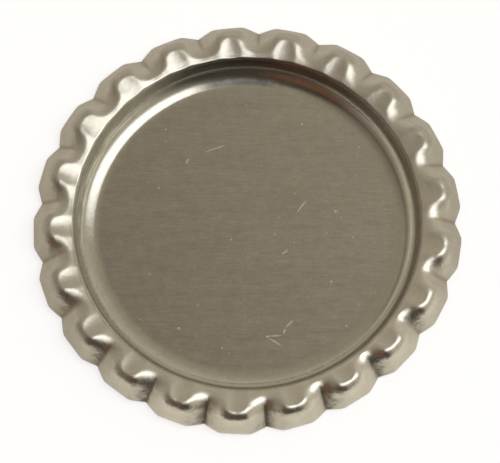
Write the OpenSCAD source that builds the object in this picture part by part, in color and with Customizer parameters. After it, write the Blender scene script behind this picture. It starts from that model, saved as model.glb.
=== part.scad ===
// Crown-type bottle cap, pressed flat: a shallow round recess inside a ring of pinched flutes.
// One piece, stamped from a round blank of tinplate. It lies on its panel with the open side up.
// Millimetres, +Z up, origin at the middle of the panel's underside.

/* [Sheet] */
// Thickness of the tinplate
sheet_t = 0.24; // [0.2:0.01:0.26]

/* [Recess] */
// Diameter of the flat floor
floor_d = 23.1; // [22.8:0.1:23.3]
// Inside radius of the corner between the floor and the wall
corner_r = 1.85; // [1.7:0.05:1.9]
// Slope of the wall where it is steepest, in degrees
wall_slope = 80; // [76:1:82]
// Radius of the sheet's upper face where it turns over at the rim
rim_r = 0.4; // [0.35:0.05:0.5]

/* [Skirt] */
// Number of flutes
flutes = 21; // [20:1:22]
// Diameter over the lobes of the outer edge
outer_d = 33.24; // [33.1:0.02:34]
// How far each notch between two lobes runs in from the lobes
notch_depth = 0.54; // [0.4:0.02:0.7]
// Angle from the middle of a lobe to where its side begins, in degrees
lobe_angle = 4.2; // [3.8:0.1:5]
// Height of the outer edge's upper corner above the base
edge_h = 0.48; // [0.35:0.01:0.7]
// Angle by which the first flute is turned from +X, in degrees
first_flute = 9.8; // [0:0.1:17]

/* [Tongues] */
// Diameter over the outer ends of the tongues, in the middle of the fold
tongue_d = 31.38; // [31:0.02:31.5]
// Width of a tongue, in the middle of the folds at its sides
tongue_w = 2.08; // [2:0.02:2.3]
// Radius of a tongue's two outer corners
tongue_corner_r = 0.9; // [0.6:0.05:0.95]
// Slope of a tongue along its two ridges, rising outwards, in degrees
tongue_rise = 15.5; // [12:0.5:17]
// Depth of the shallow groove along a tongue's middle, beside the rim
groove_depth = 0.055; // [0:0.005:0.08]
// How much less the groove rises than the ridges, in degrees
groove_fall = 4.7; // [2:0.1:7]
// Angle between a tongue's middle line and each of its ridges, in degrees
ridge_angle = 3.35; // [3.1:0.05:4]
// Half the width of the fold at a tongue's end
tongue_fold = 0.62; // [0.5:0.02:0.7]

/* [Gaps] */
// Diameter at the inner end of the gaps, in the middle of the fold
gap_d = 28.74; // [28.6:0.02:29]
// Slope of the sheet beside the rim in the middle of a gap, rising outwards, in degrees
gap_rise = 18; // [10:1:20]
// How far the middle of a gap lies below the ridges beside the rim
gap_depth = 0.055; // [0:0.005:0.08]
// How widely the sides of the tongues blend into the inner end of a gap
gap_blend = 1.5; // [1.2:0.1:1.8]
// Half the width of the fold in the middle of a gap
gap_fold = 0.73; // [0.6:0.01:0.75]

/* [Hidden] */
tinplate = [0.60, 0.58, 0.53];

// The cup's section: a corner arc runs straight into the rim's arc, and the rim's arc into the skirt.
floor_r = floor_d / 2;
rim_x = floor_r + (corner_r + rim_r) * sin(wall_slope);
rim_y = sheet_t + (corner_r + rim_r) * (1 - cos(wall_slope)) - rim_r;
start_r = rim_x - rim_r * sin(tongue_rise);
start_z = rim_y + rim_r * cos(tongue_rise);
arc_steps = 10;

// The skirt, as a surface over radius and angle.
half_pitch = 180 / flutes;
lobe_dish = 0.02;      // the middle of a lobe lies this far inside its two shoulders
lobe_soft = 0.35;
fold_from = 4;         // the fold keeps a tongue's width up to this angle from its middle
slope_soft = 0.02;
sag_soft = 0.03;
start_blend = 0.15;    // beside the rim the slopes blend over about this radius
sag_run = 0.2;         // and the grooves and gaps reach their depth over this one

// The skirt's mesh: columns of one flute, and rows as shares of the way across the fold and the band.
tongue_columns = 3;
gap_columns = 5;
fold_shares = [0.25, 0.5, 0.75, 1];
under_fold_shares = [0.6, 0.25, 0];
lap = 25;              // the skirt's inner end runs this far round into the rim's arc, in degrees
lap_half_t = 0.04;
seam = 0.02;           // the skirt's faces start this far inside the cup's faces

// ---- shape of the skirt ----

// Angle from the middle line of the nearest tongue, never negative
function off_middle(a) =
    let (turned = a - first_flute, pitch = 2 * half_pitch)
    abs(turned - pitch * round(turned / pitch));

// 0 up to -w, x from w on, and a rounded bend between
function bend(x, w) = x <= -w ? 0 : x >= w ? x : pow(x + w, 2) / (4 * w);

// The smaller of two values, with a rounded change from one to the other
function soft_min(x, y, k) = let (h = max(k - abs(x - y), 0) / k) min(x, y) - h * h * k / 4;

// Distance outside the shoulder line, which runs round every tongue and across every gap
function past_shoulder(r, u) =
    let (side = u * PI / 180 * r - tongue_w / 2 + tongue_corner_r)
    let (end = r - tongue_d / 2 + tongue_corner_r)
    let (past = norm([max(side, 0), max(end, 0)]) + min(max(side, end), 0) - tongue_corner_r)
    soft_min(past, r - gap_d / 2, gap_blend);

// Half the fold's width: a tongue's value, changing smoothly to a gap's
function fold_w(u) =
    let (s = max(u - fold_from, 0) / (half_pitch - fold_from))
    tongue_fold + (gap_fold - tongue_fold) * s * s * (3 - 2 * s);

// Outer edge: broad lobes, slightly dished, whose straight sides meet in sharp notches
function edge_r(u) =
    let (side = u - lobe_angle, dish = lobe_dish * max(1 - pow(u / ridge_angle, 2), 0))
    let (fall = (sqrt(side * side + lobe_soft * lobe_soft) + side) / 2)
    outer_d / 2 - dish - notch_depth * fall / (half_pitch - lobe_angle);

// How far along a flank, from 0 on the ridge to 1 in the middle of the gap
function flank_share(u) = max(u - ridge_angle, 0) / (half_pitch - ridge_angle);

// Slope of the sheet before it folds: a groove between two ridges, and a flank towards the gap
function rise(u) =
    let (groove = tan(tongue_rise) - tan(groove_fall) * (1 - pow(u / ridge_angle, 2)))
    let (flank = tan(tongue_rise) + (tan(gap_rise) - tan(tongue_rise)) * sin(90 * flank_share(u)))
    soft_min(groove, flank, slope_soft);

// Depth below the ridges, the same along the whole tongue
function sag(u) =
    soft_min(-groove_depth * (1 - pow(u / ridge_angle, 2)), -gap_depth * sin(90 * flank_share(u)), sag_soft);

// Height of the sheet before it folds
function shelf_z(r, u) =
    let (d = max(r - start_r, 0), first = tan(tongue_rise), t = min(d / sag_run, 1))
    start_z + first * d + (rise(u) - first) * d * d / (d + start_blend) + sag(u) * t * t * (3 - 2 * t);

// Height of the skirt's upper face: the rising shelf, folded down outside the shoulder line
function skirt_z(r, a) =
    let (u = off_middle(a), w = fold_w(u), e = edge_r(u))
    let (drop = shelf_z(e, u) - edge_h)
    shelf_z(r, u) - drop * bend(past_shoulder(r, u), w) / bend(past_shoulder(e, u), w);

// Direction of the upper face at a point, worked out from its neighbours
function skirt_normal(r, a) =
    let (dr = 0.01, da = 0.05)
    let (along = (skirt_z(r + dr, a) - skirt_z(r - dr, a)) / (2 * dr))
    let (around = (skirt_z(r, a + da) - skirt_z(r, a - da)) / (2 * da * PI / 180 * r))
    let (size = sqrt(along * along + around * around + 1))
    [-along * cos(a) + around * sin(a), -along * sin(a) - around * cos(a), 1] / size;

function on_top(r, a) = [r * cos(a), r * sin(a), skirt_z(r, a)];
function underneath(r, a) = on_top(r, a) - sheet_t * skirt_normal(r, a);

// Radius at which a radial line is a given distance outside the shoulder line, by halving
function radius_past(u, past, from, to, halvings = 14) =
    let (middle = (from + to) / 2)
    halvings == 0 ? middle
    : past_shoulder(middle, u) < past ? radius_past(u, past, middle, to, halvings - 1)
    : radius_past(u, past, from, middle, halvings - 1);

function fold_start_r(u) = max(radius_past(u, -fold_w(u), start_r, edge_r(u)), start_r + 2 * sag_run);
function fold_row_r(u, share) =
    let (from = fold_start_r(u), first = past_shoulder(from, u))
    share == 0 ? from : radius_past(u, first + share * (fold_w(u) - first), from, edge_r(u));

// ---- sub-parts ----

// Points on an arc about [x, z], from one angle to another
function arc(x, z, r, from, to) =
    [for (i = [0:arc_steps]) let (t = from + (to - from) * i / arc_steps) [x + r * cos(t), z + r * sin(t)]];

// The panel, its corner and the rim: one turned section
module cup() {
    corner_y = sheet_t + corner_r;
    low = -90 + wall_slope;
    high = 90 + wall_slope;
    end = 90 + tongue_rise;
    rotate_extrude($fn = 180)
        polygon(concat(
            [[0, 0], [0, sheet_t]],
            arc(floor_r, corner_y, corner_r, -90, low),
            arc(rim_x, rim_y, rim_r, high, end),
            arc(rim_x, rim_y, rim_r - sheet_t, end, high),
            arc(floor_r, corner_y, corner_r + sheet_t, low, -90)
        ));
}

// The fluted skirt: a closed mesh of rings, from inside the rim, over the top and back underneath
module skirt() {
    // Angles from a tongue's middle to a gap's middle, with a column on the ridge and on the crease
    half = concat(
        [for (i = [0:tongue_columns - 1]) ridge_angle * i / tongue_columns],
        [for (i = [0:gap_columns]) ridge_angle + (half_pitch - ridge_angle) * i / gap_columns]);
    n = tongue_columns + gap_columns;
    index = concat([for (i = [n:-1:1]) i], [for (i = [0:n - 1]) i]);
    columns = flutes * 2 * n;
    picks = [for (k = [1:flutes]) each index];
    around = [for (k = [0:flutes - 1], i = [0:2 * n - 1])
        first_flute + half_pitch * 2 * k + (i < n ? -half[index[i]] : half[index[i]])];

    // One radius for every angle in half, for each row of the top and of the underside
    first_row = [for (u = half) start_r + sag_run / 2];
    second_row = [for (u = half) start_r + sag_run];
    start_row = [for (u = half) fold_row_r(u, 0)];
    fold_rows = [for (s = fold_shares) [for (u = half) fold_row_r(u, s)]];
    under_rows = [for (s = under_fold_shares) [for (u = half) fold_row_r(u, s)]];
    band_row = [for (u = half) (fold_row_r(u, 1) + edge_r(u)) / 2];
    edge_row = [for (u = half) edge_r(u)];
    top_rows = concat([first_row, second_row, start_row], fold_rows, [band_row, edge_row]);
    low_rows = concat([edge_row, fold_rows[len(fold_rows) - 1]], under_rows);

    // A ring inside the rim's sheet, placed on the rim's own arc
    function inner(r, turn) = let (t = 90 + tongue_rise + turn)
        [for (a = around) let (x = rim_x + r * cos(t)) [x * cos(a), x * sin(a), rim_y + r * sin(t)]];
    middle_r = rim_r - sheet_t / 2;
    rows = concat(
        [inner(middle_r - lap_half_t, lap), inner(middle_r + lap_half_t, lap), inner(rim_r - seam, 3)],
        [for (row = top_rows) [for (i = [0:columns - 1]) on_top(row[picks[i]], around[i])]],
        [for (row = low_rows) [for (i = [0:columns - 1]) underneath(row[picks[i]], around[i])]],
        [inner(rim_r - sheet_t + seam, 6)]
    );
    m = len(rows);
    points = [for (row = rows) each row];
    faces = [for (j = [0:m - 1], i = [0:columns - 1])
        let (j2 = (j + 1) % m, i2 = (i + 1) % columns)
        let (p = j * columns + i, q = j * columns + i2, r = j2 * columns + i2, s = j2 * columns + i)
        each [[p, q, r], [p, r, s]]];
    polyhedron(points = points, faces = faces, convexity = 10);
}

module cap_shell() {
    color(tinplate) union() {
        cup();
        skirt();
    }
}

cap_shell();
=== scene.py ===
# %% [markdown]
# # A flattened crown cap in bare tinplate
# A crown cap is stamped from one round blank of thin steel with a coat of tin. Pressed flat for craft
# work, it keeps a shallow round recess, and its skirt lies spread around it as a ring of pinched flutes.
# The frame holds the cap as a solid. This lesson gives it a finer surface, a worn tin finish
# and a small studio. The frame comes first.

# %% load the frame
import math

import bpy
import numpy as np
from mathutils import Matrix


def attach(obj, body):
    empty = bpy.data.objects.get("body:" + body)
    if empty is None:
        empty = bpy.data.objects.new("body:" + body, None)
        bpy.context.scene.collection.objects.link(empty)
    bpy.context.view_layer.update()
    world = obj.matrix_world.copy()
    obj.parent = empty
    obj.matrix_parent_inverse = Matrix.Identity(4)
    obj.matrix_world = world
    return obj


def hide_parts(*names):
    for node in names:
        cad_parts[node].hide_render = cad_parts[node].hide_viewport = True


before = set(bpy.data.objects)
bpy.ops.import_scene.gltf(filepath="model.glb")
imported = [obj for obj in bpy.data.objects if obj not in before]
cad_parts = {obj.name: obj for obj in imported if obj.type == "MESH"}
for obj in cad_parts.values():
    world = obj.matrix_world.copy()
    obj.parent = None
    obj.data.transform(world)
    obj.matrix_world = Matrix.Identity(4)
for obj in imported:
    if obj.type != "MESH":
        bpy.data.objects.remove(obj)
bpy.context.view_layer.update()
print("nodes in the frame:", list(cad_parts))

# %% [markdown]
# ## The driving sizes
# Everything about the shape follows from a few sizes, so they sit together here, in millimetres and
# degrees. The same sizes shape the frame's solid. Blender works in metres, so one factor turns a finished
# grid of points into metres at the very end.

# %% sizes of the sheet, the recess and the skirt
MM = 0.001
sheet_t = 0.24
floor_r = 11.55
corner_r = 1.85
wall_slope = math.radians(80)
rim_r = 0.4

flutes = 21
outer_r = 16.62
notch_depth = 0.54
lobe_angle = math.radians(4.2)
lobe_dish = 0.02
lobe_corner = math.radians(0.35)
edge_h = 0.48
first_flute = math.radians(9.8)
half_pitch = math.pi / flutes
print(f"{flutes} flutes, {2 * outer_r:.1f} mm over the lobes")

# %% sizes of the tongues and the gaps between them
tongue_end_r = 15.69
tongue_half_w = 1.04
tongue_corner_r = 0.9
tongue_rise = math.tan(math.radians(15.5))
groove_fall = math.tan(math.radians(4.7))
groove_depth = 0.055
ridge_angle = math.radians(3.35)
tongue_fold = 0.62

gap_r = 14.37
gap_rise = math.tan(math.radians(18))
gap_depth = 0.055
gap_blend = 1.5
gap_fold = 0.73
fold_from = math.radians(4)
front_sharpness = 0.1
start_blend = 0.15
slope_soft = 0.02
sag_soft = 0.03
print(f"tongues {2 * tongue_half_w:.2f} mm wide, ending at radius {tongue_end_r} mm")

# %% [markdown]
# ## The cup
# The recess is a turned shape: a flat floor, a corner arc and a small rim arc that turns over into the
# skirt. A lathe in Blender would be the Spin tool or a Screw modifier. Working out the section as an
# array is just as short, and it lets the skirt continue the same grid with no seam.

# %% the cup's section
def corner_arc(slope):
    """Radius and height where the corner has this slope: a circle that starts level at the floor's edge."""
    return floor_r + corner_r * np.sin(slope), sheet_t + corner_r * (1 - np.cos(slope))


wall_r, wall_z = corner_arc(wall_slope)
rim_x = wall_r + rim_r * math.sin(wall_slope)
rim_y = wall_z - rim_r * math.cos(wall_slope)
start_slope = math.atan(tongue_rise)


def rim_arc(slope):
    """Radius and height on the rim: a circle that turns from the wall's slope back towards level."""
    return rim_x - rim_r * np.sin(slope), rim_y + rim_r * np.cos(slope)


start_r, start_z = rim_arc(start_slope)
print(f"rim at radius {start_r:.2f} mm, height {start_z:.2f} mm")

# %% [markdown]
# ## The skirt
# Twenty-one tongues run outwards from the rim. Between them the sheet is folded down into gaps, and
# outside the tongues it falls as a band to a lobed edge. It could be sculpted, or pushed up from a flat
# disc by hand. Here it is one height for every radius and angle: a gently rising shelf, and a rounded
# fold that starts at a shoulder line. The shoulder line is a distance, so the fold keeps its width
# all the way round a tongue, as bent sheet does. The press bears harder at the front of this cap, so the
# folds are up to a fifth sharper there.

# %% the skirt's plan
def off_middle(a):
    """Angle from the middle of the nearest tongue: the remainder after whole pitches, never negative."""
    turned = a - first_flute
    return np.abs(turned - 2 * half_pitch * np.round(turned / (2 * half_pitch)))


def soft_min(x, y, k):
    """The smaller of x and y, less a parabola that rounds the change between them over a width k."""
    h = np.maximum(k - np.abs(x - y), 0) / k
    return np.minimum(x, y) - h * h * k / 4


def past_shoulder(r, u):
    """Distance outside the shoulder line: from a rounded tongue, blended with that from a circle."""
    side = u * r - tongue_half_w + tongue_corner_r
    end = r - tongue_end_r + tongue_corner_r
    past = np.hypot(np.maximum(side, 0), np.maximum(end, 0)) + np.minimum(np.maximum(side, end), 0)
    return soft_min(past - tongue_corner_r, r - gap_r, gap_blend)


def edge_r(u):
    """Radius of the outer edge: a slightly dished lobe, a rounded corner, then a straight fall."""
    side = u - lobe_angle
    fall = (np.sqrt(side ** 2 + lobe_corner ** 2) + side) / 2 / (half_pitch - lobe_angle)
    dish = lobe_dish * np.maximum(1 - (u / ridge_angle) ** 2, 0)
    return outer_r - dish - notch_depth * fall


print(f"edge at radius {edge_r(0):.2f} mm on a lobe, {edge_r(half_pitch):.2f} mm in a notch")

# %% the skirt's heights
rim_run = 0.3
skirt_run = 0.1


def bend(x, w):
    """0 up to -w, x from w on, and the parabola (x + w)^2 / 4w between them."""
    x = np.maximum(x, -w)
    return np.where(x < w, (x + w) ** 2 / (4 * w), x)


def fold_w(u, a):
    """Half the fold's width: a tongue's value, changed smoothly to a gap's, and less towards the front."""
    s = np.clip((u - fold_from) / (half_pitch - fold_from), 0, 1)
    even = tongue_fold + (gap_fold - tongue_fold) * s * s * (3 - 2 * s)
    return even * (1 - front_sharpness * (1 - np.sin(a)))


def rise(u):
    """Slope of the shelf: a parabola across the tongue's groove, and a quarter sine on its flanks."""
    groove = tongue_rise - groove_fall * (1 - (u / ridge_angle) ** 2)
    share = np.clip((u - ridge_angle) / (half_pitch - ridge_angle), 0, 1)
    flank = tongue_rise + (gap_rise - tongue_rise) * np.sin(share * math.pi / 2)
    return soft_min(groove, flank, slope_soft)


def sag(u):
    """Depth below the ridges, the same all along: a parabola in the groove, a sine on the flank."""
    groove = -groove_depth * (1 - (u / ridge_angle) ** 2)
    share = np.clip((u - ridge_angle) / (half_pitch - ridge_angle), 0, 1)
    return soft_min(groove, -gap_depth * np.sin(share * math.pi / 2), sag_soft)


def lift(r):
    """How much of the sag shows: 0 on the wall, 1 on the skirt, with a smooth step across the rim."""
    t = np.clip((r - start_r + rim_run) / (rim_run + skirt_run), 0, 1)
    return t * t * (3 - 2 * t)


def shelf_z(r, u):
    """Height of the shelf: the rim's height, plus slope times distance, blended in beside the rim."""
    d = np.maximum(r - start_r, 0)
    blended = (rise(u) - tongue_rise) * d * d / (d + start_blend)
    return start_z + tongue_rise * d + blended + sag(u) * lift(r)


def skirt_z(r, a):
    """Height of the skirt: the shelf, less a bend that is scaled to end at the edge's height."""
    u = off_middle(a)
    w, e = fold_w(u, a), edge_r(u)
    drop = shelf_z(e, u) - edge_h
    return shelf_z(r, u) - drop * bend(past_shoulder(r, u), w) / bend(past_shoulder(e, u), w)


print(f"tongue's end at height {shelf_z(tongue_end_r, ridge_angle):.2f} mm before it bends down")

# %% [markdown]
# ## Uneven flutes
# No two flutes are quite alike: the blank slips a little while the die pinches it. Random noise would make
# neighbours jump, so the unevenness is a few slow waves round the cap instead. Two waves turn the flutes by
# up to 0.4 degrees, and four more move the skirt in or out by up to a quarter of a millimetre.

# %% unevenness
settle_run = 0.6


def waves(a, *terms):
    """A sum of cosines round the cap, each with its count, size and phase in degrees."""
    return sum(size * np.cos(count * a + math.radians(phase)) for count, size, phase in terms)


def turn_of(a):
    """How far the flutes at this angle are turned: two waves, in degrees."""
    return np.radians(waves(a - first_flute, (1, 0.18, 77), (2, 0.22, 27)))


def reach_of(r, a):
    """How far the skirt is pushed outwards: four waves, which grow over a short run from the rim."""
    share = np.clip((r - start_r) / settle_run, 0, 1)
    share = share * share * (3 - 2 * share)
    return share * waves(a - first_flute, (2, 0.08, -73), (3, 0.06, -16), (4, 0.055, 69), (5, 0.05, 104))


all_round = np.linspace(0, 2 * math.pi, 361)
print(f"flutes turned by up to {np.degrees(np.abs(turn_of(all_round)).max()):.2f} degrees")
print(f"edge moved in or out by up to {np.abs(reach_of(outer_r, all_round)).max():.2f} mm")

# %% [markdown]
# ## One closed shell
# The sheet is a grid: columns go round the cap, and rows go from the middle of the floor out to the
# edge, round it, and back underneath. A Solidify modifier could thicken a single surface. Offsetting the
# grid along its own normals gives the same even thickness and keeps the rows under control, so the
# cut edge can be rounded as well. Columns are closer together on the tongues than in the gaps.

# %% columns and rows
tongue_steps, gap_steps = 8, 9
half_angles = np.concatenate([
    np.linspace(0, ridge_angle, tongue_steps, endpoint=False),
    np.linspace(ridge_angle, half_pitch, gap_steps + 1),
])
flute_angles = np.concatenate([-half_angles[:0:-1], half_angles[:-1]])
angles = (first_flute + 2 * half_pitch * np.arange(flutes)[:, None] + flute_angles).ravel()
offsets = off_middle(angles)
placed = angles + turn_of(angles)
floor_rows_r = np.array([1.0, 4.0, 8.0, 10.8])
corner_slopes = np.linspace(0, wall_slope, 17)
rim_slopes = np.linspace(wall_slope, start_slope, 11)[1:]
skirt_shares = np.linspace(0, 1, 47)[1:]
edge_bulge = 0.05
edge_steps = 6
print(len(angles), "columns")


# %% the upper face
def turned(r, z):
    """Points of a turned section: one radius and height for each row, the same at every angle."""
    r, z = np.broadcast_arrays(r, z)
    shape = (len(r), len(angles))
    return np.stack([r[:, None] * np.cos(placed), r[:, None] * np.sin(placed),
                     np.broadcast_to(z[:, None], shape)], axis=-1)


skirt_rows_r = start_r + skirt_shares[:, None] * (edge_r(offsets) - edge_bulge - start_r)
pushed_r = skirt_rows_r + reach_of(skirt_rows_r, angles)
skirt_rows = np.stack([pushed_r * np.cos(placed), pushed_r * np.sin(placed),
                       skirt_z(skirt_rows_r, angles)], axis=-1)
cup_rows = np.concatenate([
    turned(floor_rows_r, sheet_t),
    turned(*corner_arc(corner_slopes)),
    turned(*rim_arc(rim_slopes)),
])
cup_rows[..., 2] += sag(offsets) * lift(np.hypot(cup_rows[..., 0], cup_rows[..., 1]))
upper = np.concatenate([cup_rows, skirt_rows])
print("upper face:", upper.shape[0], "rows")


# %% the underside and the cut edge
def grid_normals(points):
    """Unit normals of a grid that closes round its columns: the cross product of its two differences."""
    across = np.gradient(points, axis=0)
    around = np.roll(points, -1, axis=1) - np.roll(points, 1, axis=1)
    normals = np.cross(across, around)
    return normals / np.linalg.norm(normals, axis=-1, keepdims=True)


normals = grid_normals(upper)
under = (upper - sheet_t * normals)[::-1]
outward = upper[-1] - upper[-2]
outward /= np.linalg.norm(outward, axis=-1, keepdims=True)
turn = np.linspace(0, math.pi, edge_steps + 1)[1:-1, None, None]
edge_middle = (upper[-1] + under[0]) / 2
edge_rows = (edge_middle + sheet_t / 2 * np.cos(turn) * normals[-1]
             + edge_bulge * np.sin(turn) ** 0.5 * outward)
print("underside:", under.shape[0], "rows, edge:", edge_rows.shape[0], "rows")

# %% [markdown]
# ## From grid to mesh
# Two pole points close the floor above and below. The faces between rows are quads, worked out from the
# grid's own numbering, so every face points outwards and no seam is left open.

# %% make the shell
def closed_shell(name, rows):
    """A mesh from closed rows: quads between neighbouring rows, and a fan to a pole at each end."""
    n_rows, n_columns = rows.shape[:2]
    top_pole = [0, 0, rows[0, 0, 2]]
    low_pole = [0, 0, rows[-1, 0, 2]]
    points = np.concatenate([rows.reshape(-1, 3), [top_pole, low_pole]]) * MM
    start = (np.arange(n_rows - 1) * n_columns)[:, None]
    i = np.arange(n_columns)
    j = (i + 1) % n_columns
    quads = np.stack([start + i, start + n_columns + i, start + n_columns + j, start + j], axis=-1)
    top, low = n_rows * n_columns, n_rows * n_columns + 1
    last = (n_rows - 1) * n_columns
    top_fan = np.stack([np.full(n_columns, top), i, j], axis=-1)
    low_fan = np.stack([np.full(n_columns, low), last + j, last + i], axis=-1)
    mesh = bpy.data.meshes.new(name)
    mesh.from_pydata(points, [], quads.reshape(-1, 4).tolist() + top_fan.tolist() + low_fan.tolist())
    mesh.validate()
    mesh.shade_smooth()
    shell = bpy.data.objects.new(name, mesh)
    bpy.context.collection.objects.link(shell)
    return shell


rim_end = len(skirt_shares) + len(rim_slopes)
under_picks = np.unique(np.concatenate([
    np.arange(0, rim_end, 2),
    np.arange(rim_end, len(under), 3),
    [len(under) - 1],
]))
all_rows = np.concatenate([upper, edge_rows, under[under_picks]])
shell = closed_shell("tinplate_shell", all_rows)
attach(shell, "root")
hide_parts("cap_shell")
print(len(shell.data.polygons), "faces")

# %% [markdown]
# ## Where the folds are
# The finish differs on the tongues, in the creases over the notches and on the outer band, and painted
# shade darkens the shoulder where each tongue's fold begins. Painting those areas by hand would do. The
# grid already knows them, so each is stored as an attribute: one number per point, which the material reads
# back.

# %% attributes for the finish
crease_w = 0.16
crease_strength = 0.8
band_start, band_run = -0.1, 0.7
shoulder_at, shoulder_w = 0.02, 0.24
end_fade = math.radians(1.2)


def skirt_attribute(name, skirt_values, beyond=0.0):
    """Stores one number per point: 0 in the cup, these values on the skirt, another beyond it."""
    rows = np.full(all_rows.shape[:2], beyond)
    rows[:len(cup_rows)] = 0
    rows[len(cup_rows):len(upper)] = skirt_values
    at_points = np.append(rows.ravel(), [0.0, 0.0])
    shell.data.attributes.new(name, "FLOAT", "POINT").data.foreach_set("value", at_points)


past = past_shoulder(skirt_rows_r, offsets)
out_share = np.clip((past - band_start) / band_run, 0, 1)
to_crease = (half_pitch - offsets) * skirt_rows_r
at_end = np.clip(1 - (offsets - ridge_angle) / end_fade, 0, 1)
skirt_attribute("crease", np.exp(-(to_crease / crease_w) ** 2) * out_share * crease_strength)
skirt_attribute("band", out_share, beyond=1.0)
# painted shade: the shoulder attribute darkens the colour where the fold begins round a tongue's end
skirt_attribute("shoulder", np.exp(-((past - shoulder_at) / shoulder_w) ** 2) * at_end)
print("attributes:", [entry.name for entry in shell.data.attributes if not entry.is_internal])

# %% [markdown]
# ## A small language for finishes
# A finish is arithmetic on patterns. Adding Math nodes one by one hides it, so a small class wraps a
# socket and lets Python's own operators add the nodes. Every other node comes from one method.

# %% sockets with operators
class Value:
    """A number that varies over the surface. Its operators add the Math nodes they need."""

    def __init__(self, recipe, socket):
        self.recipe = recipe
        self.socket = socket

    def math(self, operation, *values):
        """A Math node with this operation on these values."""
        node = self.recipe.node("ShaderNodeMath", {"operation": operation}, dict(enumerate(values)))
        return Value(self.recipe, node.outputs[0])

    def __add__(self, other):
        return self.math("ADD", self, other)

    def __sub__(self, other):
        return self.math("SUBTRACT", self, other)

    def __rsub__(self, other):
        return self.math("SUBTRACT", other, self)

    def __mul__(self, other):
        return self.math("MULTIPLY", self, other)

    def __truediv__(self, other):
        return self.math("DIVIDE", self, other)

    __radd__ = __add__
    __rmul__ = __mul__

    def between(self, low, high):
        """0 at low and below, 1 at high and above, smooth between."""
        node = self.recipe.node("ShaderNodeMapRange", {"interpolation_type": "SMOOTHSTEP"},
                                {"Value": self, "From Min": low, "From Max": high})
        return Value(self.recipe, node.outputs[0])


class Recipe:
    """The nodes of one material or world."""

    def __init__(self, tree):
        self.tree = tree
        tree.nodes.clear()

    def node(self, kind, settings=None, inputs=None):
        """Adds a node of this type, then its settings, then the values or links of its sockets."""
        node = self.tree.nodes.new(kind)
        for name, value in (settings or {}).items():
            setattr(node, name, value)
        for name, value in (inputs or {}).items():
            value = getattr(value, "socket", value)
            if isinstance(value, bpy.types.NodeSocket):
                self.tree.links.new(value, node.inputs[name])
            else:
                node.inputs[name].default_value = value
        return node

    def value(self, kind, settings, inputs, output=0):
        """One output of a new node, wrapped."""
        return Value(self, self.node(kind, settings, inputs).outputs[output])

    def noise(self, vector, scale, detail=2.0, roughness=0.5):
        """Soft noise between about 0.2 and 0.8."""
        return self.value("ShaderNodeTexNoise", {},
                          {"Vector": vector, "Scale": scale, "Detail": detail, "Roughness": roughness})

    def mix(self, share, a, b):
        """Colour a where share is 0 and colour b where it is 1. Sockets 6, 7 and 2 are the colour ones."""
        node = self.node("ShaderNodeMix", {"data_type": "RGBA"}, {"Factor": share, 6: a, 7: b})
        return Value(self, node.outputs[2])

    def place(self, vector, at=(0, 0, 0), turn=0.0, scale=(1, 1, 1)):
        """A pattern's own coordinates: centred, turned about +Z and scaled."""
        node = self.node("ShaderNodeMapping", {"vector_type": "TEXTURE"},
                         {"Vector": vector, "Location": at, "Rotation": (0, 0, turn), "Scale": scale})
        return Value(self, node.outputs[0])


print("recipes ready")

# %% [markdown]
# ## Bare tinplate
# Tin is a soft warm-grey metal. The floor keeps the rolled sheet's satin grain, a set of fine straight
# lines. The wall is drawn over a die, which leaves streaks that run round it. The press has rubbed the
# folds bright, and the rest of the skirt is duller than the cup. Light and shade are painted into the
# colour as well: the floor is lighter towards the right and the back, the upper wall and the tongues are
# lighter towards the front, the wall has painted glints on the left, and painted shade lies under the rim,
# at the corner's foot, on an arc of the far corner and at the folds' shoulders. A painted texture could
# hold all this, but patterns worked out from the place stay sharp at any distance. All of it is metal, so
# one Metallic value serves, and only colour, roughness and the surface's bumps vary.

# %% the place on the cap
tin = bpy.data.materials.new("bare_tinplate")
tin.use_nodes = True
recipe = Recipe(tin.node_tree)
where = recipe.node("ShaderNodeTexCoord").outputs["Object"]
in_mm = recipe.node("ShaderNodeVectorMath", {"operation": "SCALE"}, {0: where, "Scale": 1 / MM}).outputs[0]
split = recipe.node("ShaderNodeSeparateXYZ", {}, {0: in_mm})
x, y = Value(recipe, split.outputs[0]), Value(recipe, split.outputs[1])
radius_squared = x * x + y * y
radius = radius_squared.math("SQRT", radius_squared)
print("place ready")


# %% areas
def ring(rise_from, rise_to, fall_from, fall_to):
    """1 on a ring round the axis: it rises between the first two radii and falls between the last two."""
    return radius.between(rise_from, rise_to) * (1 - radius.between(fall_from, fall_to))


def facing(azimuth):
    """Cosine of the angle between this place and an azimuth in degrees, seen from the axis."""
    a = math.radians(azimuth)
    return (x * math.cos(a) + y * math.sin(a)) / radius


def attribute(name):
    """The number that the mesh stores under this name."""
    return recipe.value("ShaderNodeAttribute", {"attribute_name": name}, {}, "Fac")


crease, band, shoulder = attribute("crease"), attribute("band"), attribute("shoulder")
to_left, to_right, to_front, to_back = facing(160), facing(15), facing(-55), facing(94)
on_floor = 1 - radius.between(floor_r - 0.3, floor_r + 0.2)
on_corner = ring(floor_r - 0.4, floor_r, floor_r + 1.2, floor_r + 1.7)
on_wall = ring(floor_r + 0.6, floor_r + 1.6, start_r - 0.1, start_r + 0.05)
upper_wall = ring(12.55, 12.8, 12.95, 13.25)
on_skirt = radius.between(start_r - 0.1, start_r + 0.1)
fold = band * (1 - band)
print("areas ready")

# %% [markdown]
# Three thin lines of painted shade finish the recess: the metal under the rim, except on the left, and at
# the corner's foot, on the right, is painted darker and browner, and an arc of the far corner is painted
# darker and made rougher. Each could be painted on. A ring of radii times a range of directions says the
# same in one line.

# %% painted shade lines
# painted shade: a darker, browner line under the rim, except on the left
rim_shade_line = ring(12.92, 13.15, 13.5, 13.65) * (1 - to_left.between(0.2, 0.6))
# painted shade: a darker, browner line at the corner's foot, on the right
foot_shade_line = ring(12.2, 12.4, 12.45, 12.55) * to_right.between(0.4, 0.8)
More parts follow.
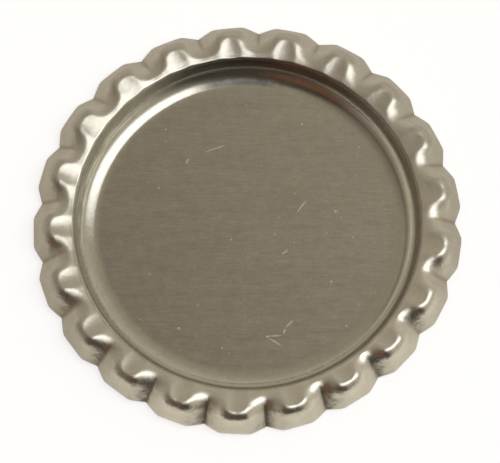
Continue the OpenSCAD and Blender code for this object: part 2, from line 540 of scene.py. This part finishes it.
# painted shade: a darker arc on the far corner, which is also rougher
far_corner_shade = ring(11.72, 12.0, 12.4, 12.62) * to_back.between(0.95, 0.994)
print("lines ready")

# %% [markdown]
# ## Patterns
# Each pattern is noise on millimetres. Stretched along x it is the rolled grain, stretched along the
# axis it is the wall's streaks, and left even it is grit, small dents or the mottle of the tin coat.

# %% grain, grit and streaks
grain = recipe.noise(recipe.place(in_mm, scale=(1.5, 0.10, 1.0)), 1.0, 2.0, 0.6)
wide_grain = recipe.noise(recipe.place(in_mm, scale=(7.0, 0.7, 1.0)), 1.0, 2.0, 0.5)
grit = recipe.noise(in_mm, 6.0, 2.0, 0.6)
dents = recipe.noise(in_mm, 1.4, 2.0, 0.5)
mottle = recipe.noise(in_mm, 2.2, 1.0, 0.5)
streaks = recipe.noise(recipe.place(in_mm, scale=(2.2, 2.2, 0.13)), 1.0, 2.0, 0.5)
print("patterns ready")

# %% [markdown]
# ## Scratches and specks
# The floor of a loose cap rubs against others. Each mark is an ellipse with its own place, length, width
# and direction, in millimetres and degrees: a Mapping node moves it to the origin and scales it to a unit
# circle. A crooked scratch is a few such ellipses end to end. A mark is a rough, shallow furrow.

# %% marks on the floor
scratches = [
    (2.20, -9.14, 1.56, 0.17, 146), (2.21, -8.66, 1.32, 0.18, 4), (2.92, -8.33, 0.58, 0.17, 79),
    (3.32, -7.68, 1.02, 0.17, 47), (1.62, -8.72, 0.36, 0.24, 20),
    (4.27, 1.88, 1.51, 0.13, 54), (2.93, -1.90, 0.69, 0.14, 31), (3.12, -1.75, 0.42, 0.10, 100),
    (-4.61, 5.60, 0.62, 0.24, 60), (-2.45, 6.62, 2.40, 0.07, 20),
]
specks = [
    (-6.80, 3.39, 0.22), (-5.23, -8.05, 0.34), (7.73, -7.83, 0.22), (6.57, -4.27, 0.26),
    (6.93, 1.49, 0.26), (8.23, -0.64, 0.18), (-1.20, -0.83, 0.24), (4.32, 8.62, 0.20),
    (-6.30, 8.19, 0.20), (-1.90, -9.66, 0.22), (-2.17, -7.13, 0.14), (-8.20, -7.29, 0.16),
    (2.20, -0.37, 0.18),
]
speck_strength = 0.8


def mark(at_x, at_y, length, width, turn=0.0):
    """1 in the middle of an ellipse and 0 outside it: the length of its own unit vector, turned round."""
    own = recipe.place(in_mm, (at_x, at_y, sheet_t), math.radians(turn), (length / 2, width / 2, 1))
    away = recipe.value("ShaderNodeVectorMath", {"operation": "LENGTH"}, {0: own}, "Value")
    return 1 - away.between(0.3, 1.0)


marks = mark(*scratches[0])
for scratch in scratches[1:]:
    marks = marks.math("MAXIMUM", marks, mark(*scratch))
for at_x, at_y, size in specks:
    marks = marks.math("MAXIMUM", marks, mark(at_x, at_y, size, size) * speck_strength)
print(len(scratches) + len(specks), "marks")

# %% [markdown]
# Dust is too fine to place one by one. A Voronoi pattern gives one random point to each cell of a grid, and
# the cell's random colour decides whether the point shows and how large it is.

# %% dust
dust_strength = 0.35
dust_cells = recipe.node("ShaderNodeTexVoronoi", {"voronoi_dimensions": "2D"},
                         {"Vector": in_mm, "Scale": 0.8})
luck = recipe.value("ShaderNodeSeparateColor", {}, {0: dust_cells.outputs["Color"]})
from_point = Value(recipe, dust_cells.outputs["Distance"]) / luck.between(0.6, 1.6)
dust = (1 - from_point.between(0.1, 0.3)) * dust_strength
marks = marks.math("MAXIMUM", marks, dust * luck.between(0.6, 0.61) * on_floor)
print("dust ready")

# %% [markdown]
# ## One material from all of it
# The colour is a base tin, mottled on the floor, times a tone that collects every pattern and the painted
# light and shade: above 0 is lighter and below 0 is darker. The tone is a sum, so a pattern is easy to take
# out and look at.

# %% colour
light_tin = (0.64, 0.62, 0.565, 1)
floor_tin = (0.54, 0.538, 0.494, 1)
warm_tin = (0.552, 0.526, 0.478, 1)
crease_and_shade_brown = (0.42, 0.36, 0.30, 1)

rolled = on_floor * (grain - 0.5) * 0.34 + on_floor * (wide_grain - 0.5) * 0.16
uneven = (dents - 0.5) * 0.2 + (grit - 0.5) * 0.24 + on_wall * (streaks - 0.5) * 0.5
# painted light: the floor is lighter towards the right and the back
painted_floor_light = on_floor * (x * 0.0075 + y * 0.0055)
# painted light: the upper wall is lighter where it faces the front
painted_front_wall_light = upper_wall * to_front.between(-0.2, 0.7) * 0.5
# painted highlight: bright glints along the wall's streaks, on the left only
painted_wall_glints = upper_wall * to_left.between(0.8, 0.97) * streaks.between(0.45, 0.65) * 0.5
# the skirt is rubbed lighter, less on the band; painted light makes the tongues facing the front lighter
# still
rubbed_and_lit_skirt = on_skirt * (0.12 - band * 0.06) + on_skirt * (1 - band) * to_front.between(0.1, 1.0) * 0.2
# painted shade: the far corner's arc, the folds' shoulders, the line under the rim and the corner's foot
darker = far_corner_shade * 0.72 + shoulder * 0.2 + rim_shade_line * 0.35 + foot_shade_line * 0.18
tone = rolled + uneven + painted_floor_light + painted_front_wall_light + painted_wall_glints + rubbed_and_lit_skirt + marks * 0.25 - darker

tinted_floor = recipe.mix(mottle.between(0.35, 0.65), warm_tin, floor_tin)
clean_tin = recipe.mix(on_floor, light_tin, tinted_floor)
toned_tin = recipe.node("ShaderNodeVectorMath", {"operation": "SCALE"}, {0: clean_tin, "Scale": 1 + tone})
# darker and browner in the creases; painted brown shade under the rim and at the corner's foot
tin_colour = recipe.mix(crease + rim_shade_line * 0.4 + foot_shade_line * 0.45, toned_tin.outputs[0], crease_and_shade_brown)
print("colour ready")

# %% [markdown]
# Roughness starts from polished tin and rises where the sheet is rolled, drawn, scuffed or scratched, and
# most on the skirt. The folds are smoother than what lies around them. The relief is in millimetres: the
# dents are a hundredth or two deep, and the floor is crowned by a tenth, which spreads its reflections.

# %% roughness and relief
polished = 0.13
floor_crown = 0.0008
dome = radius_squared.math("MINIMUM", radius_squared, floor_r ** 2)

skirt_roughness = on_skirt * (0.19 - to_front.between(0.2, 0.9) * 0.03) + band * 0.04 - fold * 0.24
cup_roughness = on_floor * 0.08 + on_wall * 0.08 + far_corner_shade * 0.12
roughness = polished + skirt_roughness + cup_roughness + (grit - 0.5) * 0.06 + marks * 0.4

fine_relief = on_floor * (grain - 0.5) * 0.002 + (grit - 0.5) * (0.0006 + on_corner * 0.0016)
streak_relief = on_wall * (streaks - 0.5) * 0.004
dent_relief = (dents - 0.5) * (0.004 + on_skirt * 0.015 + band * 0.04)
relief = fine_relief + streak_relief + dent_relief - marks * 0.004 - dome * floor_crown

bump = recipe.node("ShaderNodeBump", {}, {"Strength": 1.0, "Distance": MM, "Height": relief})
surface = recipe.node("ShaderNodeBsdfPrincipled", {}, {
    "Base Color": tin_colour,
    "Roughness": roughness,
    "Metallic": 1.0,
    "Normal": bump.outputs[0],
})
recipe.node("ShaderNodeOutputMaterial", {}, {"Surface": surface.outputs[0]})
shell.data.materials.append(tin)
print("finish:", len(tin.node_tree.nodes), "nodes")

# %% [markdown]
# ## The studio floor
# Metal shows its surroundings, so the studio is most of the look. The floor is pale and glows a little, so
# that it stays light next to the cap. Its glow is stronger in front, where the skirt's band mirrors it.
# What the camera sees of the floor and what the cap mirrors are set apart by the Light Path node.

# %% floor
floor_half = 2
floor_corners = [(-floor_half, -floor_half, 0), (floor_half, -floor_half, 0),
                 (floor_half, floor_half, 0), (-floor_half, floor_half, 0)]
floor_mesh = bpy.data.meshes.new("studio_floor")
floor_mesh.from_pydata(floor_corners, [], [(0, 1, 2, 3)])
studio_floor = bpy.data.objects.new("studio_floor", floor_mesh)
bpy.context.collection.objects.link(studio_floor)

pale = bpy.data.materials.new("pale_floor")
pale.use_nodes = True
recipe = Recipe(pale.node_tree)
seen = recipe.node("ShaderNodeLightPath").outputs["Is Camera Ray"]
floor_at = recipe.node("ShaderNodeTexCoord").outputs["Object"]
floor_split = recipe.node("ShaderNodeSeparateXYZ", {}, {0: floor_at})
glow_side = math.radians(-76)
in_front = (Value(recipe, floor_split.outputs[0]) * math.cos(glow_side)
            + Value(recipe, floor_split.outputs[1]) * math.sin(glow_side))
side_glow = recipe.mix(in_front.between(0.0045, 0.0165), (0.165, 0.137, 0.116, 1), (0.445, 0.417, 0.355, 1))
matt = recipe.node("ShaderNodeBsdfPrincipled", {}, {
    "Base Color": recipe.mix(seen, (0.71, 0.695, 0.655, 1), (0.55, 0.55, 0.55, 1)),
    "Emission Color": recipe.mix(seen, side_glow, (0.72, 0.72, 0.73, 1)),
    "Emission Strength": 1.0,
    "Roughness": 1.0,
    "Specular IOR Level": 0.0,
})
recipe.node("ShaderNodeOutputMaterial", {}, {"Surface": matt.outputs[0]})
floor_mesh.materials.append(pale)
print("floor ready")

# %% [markdown]
# ## The room
# Walls could be built and lit, but an object as small as this only sees which way a tone lies. So the room
# is a set of tones that depend on direction: warm grey walls, darker on the left, dark brown and dark grey
# in front, where a person would stand. Each later patch is laid over the ones before it.

# %% room
room = bpy.data.worlds.new("room")
bpy.context.scene.world = room
room.use_nodes = True
recipe = Recipe(room.node_tree)
towards = recipe.node("ShaderNodeTexCoord").outputs["Generated"]
up = Value(recipe, recipe.node("ShaderNodeSeparateXYZ", {}, {0: towards}).outputs[2])


def direction(azimuth, elevation):
    """Unit vector towards this azimuth and elevation, in degrees."""
    a, e = math.radians(azimuth), math.radians(elevation)
    return (math.cos(e) * math.cos(a), math.cos(e) * math.sin(a), math.sin(e))


def along(axis):
    """The part of the direction that points along this axis."""
    node = recipe.node("ShaderNodeVectorMath", {"operation": "DOT_PRODUCT"}, {0: towards, 1: axis})
    return Value(recipe, node.outputs["Value"])


def patch(azimuth, elevation, inner, outer):
    """1 near this direction and 0 away from it, from the cosine of the angle between them."""
    return along(direction(azimuth, elevation)).between(math.cos(math.radians(outer)),
                                                        math.cos(math.radians(inner)))


# azimuth, elevation, inner and outer angle, tone
wall_patches = [
    (171, 63, 9.5, 83, (0.337, 0.294, 0.224, 1)),
    (207, 48, 8, 40, (0.23, 0.20, 0.16, 1)),
    (250, 48, 14, 31, (0.085, 0.07, 0.055, 1)),
    (268, 12, 26, 55, (0.055, 0.048, 0.038, 1)),
    (218, -1, 8, 19, (0.11, 0.085, 0.068, 1)),
    (240, 31, 9, 25, (0.155, 0.08, 0.05, 1)),
]
walls = recipe.mix(up.between(-0.8, 0.5), (0.70, 0.66, 0.56, 1), (0.50, 0.467, 0.371, 1))
for azimuth, elevation, inner, outer, wall_tone in wall_patches:
    walls = recipe.mix(patch(azimuth, elevation, inner, outer), walls, wall_tone)
print("room ready:", len(wall_patches), "patches")

# %% [markdown]
# ## The soft light
# One large cloth with a lamp behind it reaches from the right up over the cap. It has five straight edges.
# Each is a plane through the cap, so a direction is on the cloth's side of an edge when it has a positive
# part along that plane's normal. The product of five such soft steps is the cloth. Its middle is brighter
# than its rim. An area light would do for a rectangle, but not for this outline.

# %% the light
# the normal of each edge's plane, and where the cloth starts and is full
cloth_edges = [
    ((0.808, -0.586, -0.06), -0.03, 0.07),
    ((0.994, 0.0, -0.11), -0.22, -0.04),
    ((-0.462, 0.281, 0.841), -0.05, 0.12),
    ((-0.243, 0.732, 0.636), -0.02, 0.22),
    ((0.126, -0.971, 0.205), -0.13, 0.11),
]
steps = [along(normal).between(low, high) for normal, low, high in cloth_edges]
cloth = math.prod(steps[1:], start=steps[0])
lamp = patch(-3, 60, 5, 38)
light_tone = recipe.mix(lamp, (1.25, 1.22, 1.12, 1), (1.85, 1.84, 1.78, 1))
lit_room = recipe.mix(cloth, walls, light_tone)
camera_ray = recipe.node("ShaderNodeLightPath").outputs["Is Camera Ray"]
room_tone = recipe.mix(camera_ray, lit_room, (0.9, 0.9, 0.9, 1))
glow = recipe.node("ShaderNodeBackground", {}, {"Color": room_tone, "Strength": 1.0})
recipe.node("ShaderNodeOutputWorld", {}, {"Surface": glow.outputs[0]})
print("light ready:", len(cloth_edges), "edges")

# %% [markdown]
# ## The camera
# The cap is seen from the front and from high above, through a long lens, so that its circle is an almost
# true ellipse. The lens follows from how wide a strip it should see at the camera's distance.

# %% camera
camera_elevation = 71.8
camera_distance = 0.65
view_width = 38.82 * MM
camera = bpy.data.cameras.new("camera")
camera.lens = camera.sensor_width * camera_distance / view_width
camera.shift_x = 0.0066
camera.shift_y = -0.002
camera.clip_start, camera.clip_end = 0.01, 20
eye = bpy.data.objects.new("camera", camera)
bpy.context.collection.objects.link(eye)
eye.location = [camera_distance * part for part in direction(-90, camera_elevation)]
eye.rotation_euler = (math.radians(90 - camera_elevation), 0, 0)
bpy.context.scene.camera = eye
bpy.context.scene.view_settings.view_transform = "Standard"
print("lens:", round(camera.lens), "mm")
